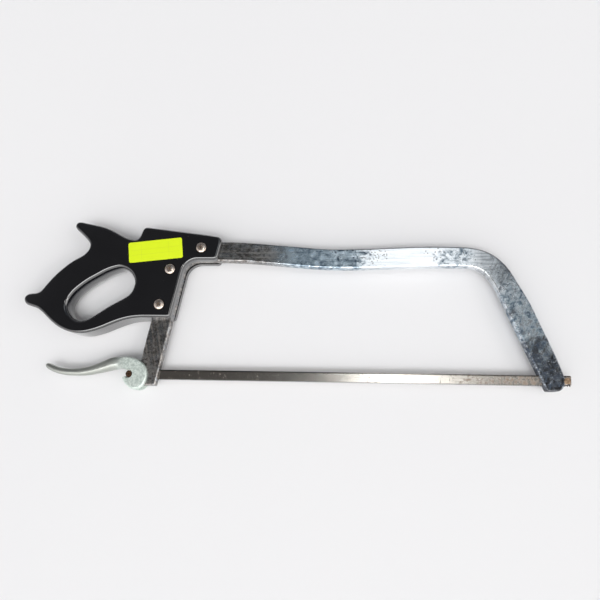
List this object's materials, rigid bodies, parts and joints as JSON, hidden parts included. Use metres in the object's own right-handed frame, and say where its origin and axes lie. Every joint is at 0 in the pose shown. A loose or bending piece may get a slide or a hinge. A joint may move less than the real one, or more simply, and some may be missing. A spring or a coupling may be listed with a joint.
{
  "type": "butcher's bone saw",
  "caption": "Butcher's bow saw with a bent flat steel frame, a moulded black pistol-grip handle and a thin toothed blade tensioned by a cam lever.",
  "frame": {"origin": "middle of the saw's outline seen from the side, on the plane of the handle's back face", "axes": "+X along the blade to the nose, +Y away from the blade towards the back of the frame, +Z out of the side that carries the screw heads"},
  "size_m": [0.65, 0.207, 0.0289],
  "materials": {
    "bright_steel_bar": "bright plated steel, streaked and pitted",
    "black_plastic": "gloss",
    "screw_metal": "worn warm nickel",
    "blade_steel": "dull rolled steel with a little rust",
    "pin_steel": "browned",
    "cast_metal": "satin casting",
    "yellow_paper": "matt"
  },
  "bodies": {
    "saw_frame": {"frame": "bright_steel_bar", "handle": "black_plastic", "handle_screw_top": "screw_metal", "handle_screw_middle": "screw_metal", "handle_screw_bottom": "screw_metal", "sleeve_nut_top": "screw_metal", "sleeve_nut_middle": "screw_metal", "sleeve_nut_bottom": "screw_metal", "lot_label": "yellow_paper"},
    "blade_unit": {"blade": "blade_steel", "rear_blade_pin": "pin_steel", "front_blade_pin": "pin_steel"},
    "lever": {"cam_lever": "cast_metal"}
  },
  "joints": [
    {"name": "blade_slide", "type": "slide", "parent": "saw_frame", "child": "blade_unit", "axis": [1, 0, 0], "range_m": [0, 0.00245]},
    {"name": "lever_hinge", "type": "hinge", "parent": "blade_unit", "child": "lever", "pos_m": [-0.18905, -0.0847, 0.0135], "axis": [0, 0, 1], "range_deg": [0, 110]}
  ],
  "couplings": [
    {"joint": "blade_slide", "follows": "lever_hinge", "m_per_rad": 0.0012757}
  ]
}
